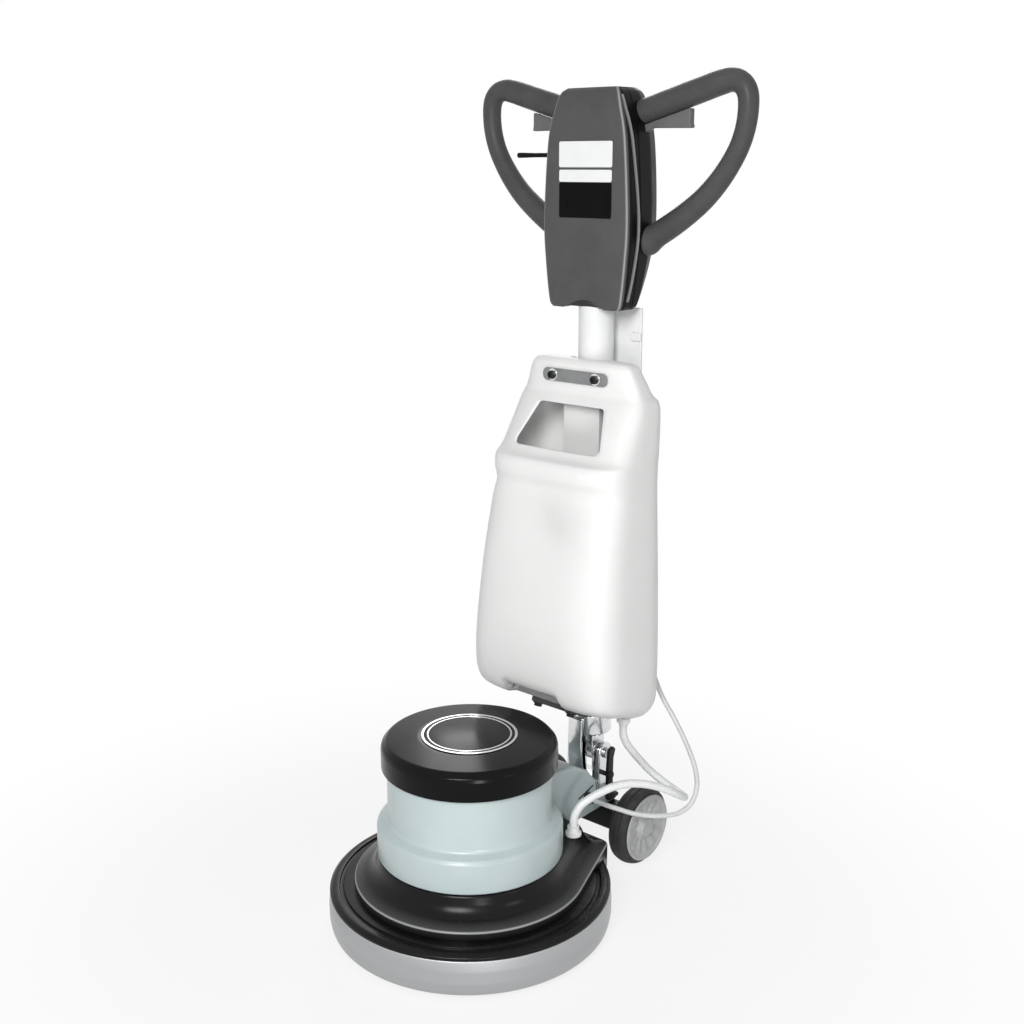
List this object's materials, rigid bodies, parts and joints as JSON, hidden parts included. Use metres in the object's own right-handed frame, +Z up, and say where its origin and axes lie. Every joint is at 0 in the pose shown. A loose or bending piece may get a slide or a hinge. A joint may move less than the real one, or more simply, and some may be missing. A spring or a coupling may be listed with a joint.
{
  "type": "rotary floor machine",
  "caption": "Upright single-disc floor scrubbing machine with a domed motor head in a round skirt, a tilting pole, a solution tank, a twin-loop handle and transport wheels",
  "frame": {"origin": "on the spindle axis, at the floor under the pad", "axes": "+Z is up along the spindle and the upright pole; -Y is the front; +Y is the side of the pole, wheels and operator; +X is to the right seen from the front"},
  "size_m": [0.515, 0.6083, 1.2842],
  "materials": {
    "pad_fibre": "open non-woven nylon pad",
    "dark_plastic": "plain moulded",
    "cast_aluminium": "as cast",
    "satin_aluminium": "satin polished",
    "steel": "machined",
    "deck_plastic": "gloss black",
    "cap_plastic": "gloss black",
    "housing_paint": "pale blue-green powder coat on a casting",
    "winding_copper": "iron core with varnished copper windings",
    "chrome": "bright plated",
    "black_paint": "black coated steel",
    "hub_plastic": "grey moulded",
    "tyre": "black non-marking rubber",
    "pole_paint": "white powder coat",
    "tank_plastic": "white polyethylene",
    "grey_plastic": "mid grey moulded",
    "console_plastic": "fine grained black",
    "label_plastic": "plain printed film",
    "gland_rubber": "moulded black",
    "hose_rubber": "white flexible tube"
  },
  "bodies": {
    "base": {"deck_plate": "deck_plastic", "deck_cover": "deck_plastic", "skirt_ring": "satin_aluminium", "gearbox_case": "cast_aluminium", "output_bearing": "steel", "ring_gear": "steel", "motor_housing": "housing_paint", "motor_cap": "cap_plastic", "cap_badge": "satin_aluminium", "stator": "winding_copper", "lower_bearing": "steel", "upper_bearing": "steel", "end_shield": "cast_aluminium", "rear_neck": "housing_paint", "hinge_yoke": "chrome", "hinge_pin": "steel", "axle_bracket": "black_paint", "wheel_axle": "steel", "hose_inlet": "tank_plastic", "lead_gland": "gland_rubber", "solution_hose": "hose_rubber", "motor_lead": "hose_rubber", "handle_stop": "chrome"},
    "brush": {"floor_pad": "pad_fibre", "pad_driver": "dark_plastic", "drive_hub": "cast_aluminium", "planet_carrier": "steel"},
    "rotor": {"rotor": "steel", "motor_shaft": "steel", "cooling_fan": "dark_plastic"},
    "planet_1": {"planet_gear_1": "steel"},
    "planet_2": {"planet_gear_2": "steel"},
    "planet_3": {"planet_gear_3": "steel"},
    "wheel_left": {"wheel_hub_left": "hub_plastic", "tyre_left": "tyre"},
    "wheel_right": {"wheel_hub_right": "hub_plastic", "tyre_right": "tyre"},
    "lock": {"lock_lever": "black_paint"},
    "handle": {"handle_socket": "chrome", "pole": "pole_paint", "solution_tank": "tank_plastic", "tank_top_plate": "grey_plastic", "plate_bolt_1": "black_paint", "plate_bolt_2": "black_paint", "tank_bottom_strap": "black_paint", "strap_bolt_1": "black_paint", "strap_bolt_2": "black_paint", "outlet_fitting": "tank_plastic", "rear_panel": "tank_plastic", "console_front": "console_plastic", "console_rear": "console_plastic", "label_panel": "label_plastic", "switch_block": "dark_plastic", "mains_gland": "gland_rubber", "handle_loop_left": "console_plastic", "handle_loop_right": "console_plastic"},
    "trigger_l": {"trigger_left": "grey_plastic"},
    "trigger_r": {"trigger_right": "grey_plastic"},
    "water": {"water_lever": "black_paint"}
  },
  "joints": [
    {"name": "brush_spin", "type": "hinge", "parent": "base", "child": "brush", "pos_m": [0, 0, 0.05], "axis": [0, 0, 1], "continuous": true},
    {"name": "rotor_spin", "type": "hinge", "parent": "base", "child": "rotor", "pos_m": [0, 0, 0.2], "axis": [0, 0, 1], "continuous": true},
    {"name": "planet_spin_1", "type": "hinge", "parent": "brush", "child": "planet_1", "pos_m": [0.036, 0, 0.1], "axis": [0, 0, 1], "continuous": true},
    {"name": "planet_spin_2", "type": "hinge", "parent": "brush", "child": "planet_2", "pos_m": [-0.018, 0.03118, 0.1], "axis": [0, 0, 1], "continuous": true},
    {"name": "planet_spin_3", "type": "hinge", "parent": "brush", "child": "planet_3", "pos_m": [-0.018, -0.03118, 0.1], "axis": [0, 0, 1], "continuous": true},
    {"name": "wheel_spin_left", "type": "hinge", "parent": "base", "child": "wheel_left", "pos_m": [-0.1, 0.299, 0.082], "axis": [1, 0, 0], "continuous": true},
    {"name": "wheel_spin_right", "type": "hinge", "parent": "base", "child": "wheel_right", "pos_m": [0.1, 0.299, 0.082], "axis": [1, 0, 0], "continuous": true},
    {"name": "handle_tilt", "type": "hinge", "parent": "base", "child": "handle", "pos_m": [0, 0.3, 0.19], "axis": [-1, 0, 0], "range_deg": [0, 60], "deforming": ["solution_hose", "motor_lead"]},
    {"name": "lock_turn", "type": "hinge", "parent": "base", "child": "lock", "pos_m": [0.034, 0.292, 0.1566], "axis": [-1, 0, 0], "range_deg": [0, 12], "stiffness_Nm_per_rad": 2, "springref_deg": -17.19},
    {"name": "trigger_left_squeeze", "type": "hinge", "parent": "handle", "child": "trigger_l", "pos_m": [-0.056, 0.327, 1.198], "axis": [0, 0, -1], "range_deg": [0, 8], "stiffness_Nm_per_rad": 0.5, "springref_deg": -17.19},
    {"name": "trigger_right_squeeze", "type": "hinge", "parent": "handle", "child": "trigger_r", "pos_m": [0.056, 0.327, 1.198], "axis": [0, 0, 1], "range_deg": [0, 8], "stiffness_Nm_per_rad": 0.5, "springref_deg": -17.19},
    {"name": "water_lift", "type": "hinge", "parent": "handle", "child": "water", "pos_m": [-0.058, 0.312, 1.166], "axis": [0, 1, 0], "range_deg": [0, 14]}
  ],
  "couplings": [
    {"joint": "rotor_spin", "follows": "brush_spin", "ratio": 6},
    {"joint": "planet_spin_1", "follows": "brush_spin", "ratio": -2.5},
    {"joint": "planet_spin_2", "follows": "brush_spin", "ratio": -2.5},
    {"joint": "planet_spin_3", "follows": "brush_spin", "ratio": -2.5}
  ]
}
